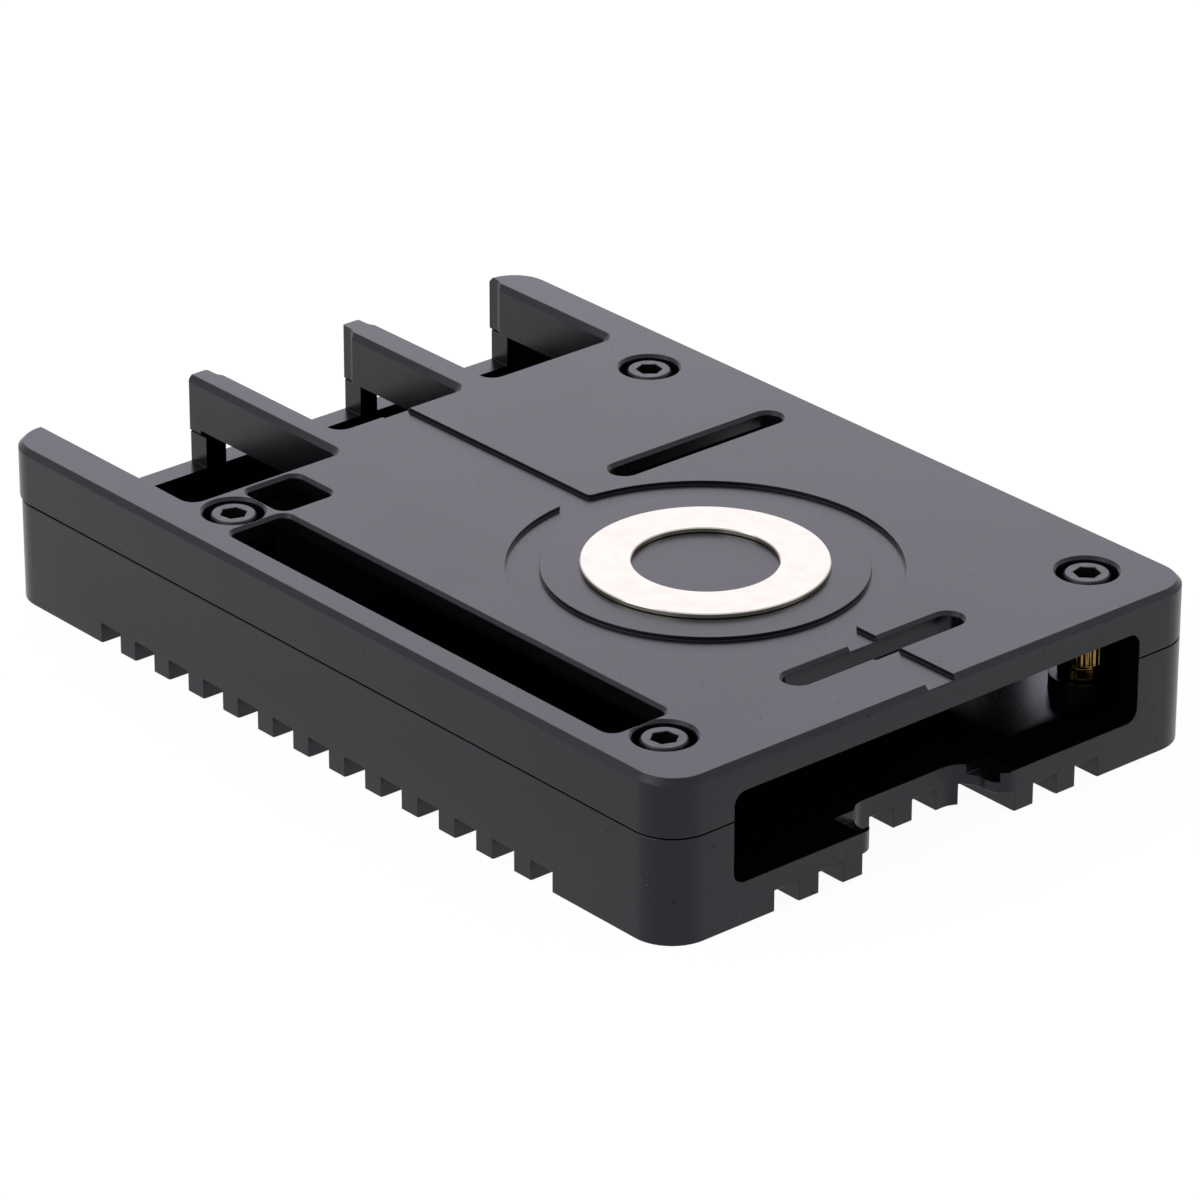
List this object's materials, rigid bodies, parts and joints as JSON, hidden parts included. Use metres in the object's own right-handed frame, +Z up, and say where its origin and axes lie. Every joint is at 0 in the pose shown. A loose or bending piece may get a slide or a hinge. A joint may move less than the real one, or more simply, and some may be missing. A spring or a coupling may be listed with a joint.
{
  "type": "single-board computer case",
  "caption": "Flat two-piece milled case for a credit-card computer board, with socket notches, cable slots, a card window and a grooved underside.",
  "frame": {"origin": "centre of the bounding rectangle of the underside, on the surface the case stands on", "axes": "+X to the end with the network and USB notches, +Y to the side with the long pin-header slot, +Z up"},
  "size_m": [0.092, 0.0618, 0.0159],
  "materials": {
    "anodised_shell": "black anodised, fine blasted satin",
    "screw_steel": "black oxide",
    "spacer_brass": "turned and knurled",
    "thermal_pad": "soft matt pad",
    "trim_metal": "polished"
  },
  "bodies": {
    "root": {"top_shell": "anodised_shell", "bottom_shell": "anodised_shell", "screw_card_power": "screw_steel", "screw_card_header": "screw_steel", "screw_port_power": "screw_steel", "screw_port_header": "screw_steel", "spacer_card_power": "spacer_brass", "spacer_card_header": "spacer_brass", "spacer_port_power": "spacer_brass", "spacer_port_header": "spacer_brass", "pad_processor": "thermal_pad", "pad_memory": "thermal_pad", "pad_controller": "thermal_pad", "trim_ring": "trim_metal"}
  },
  "joints": []
}
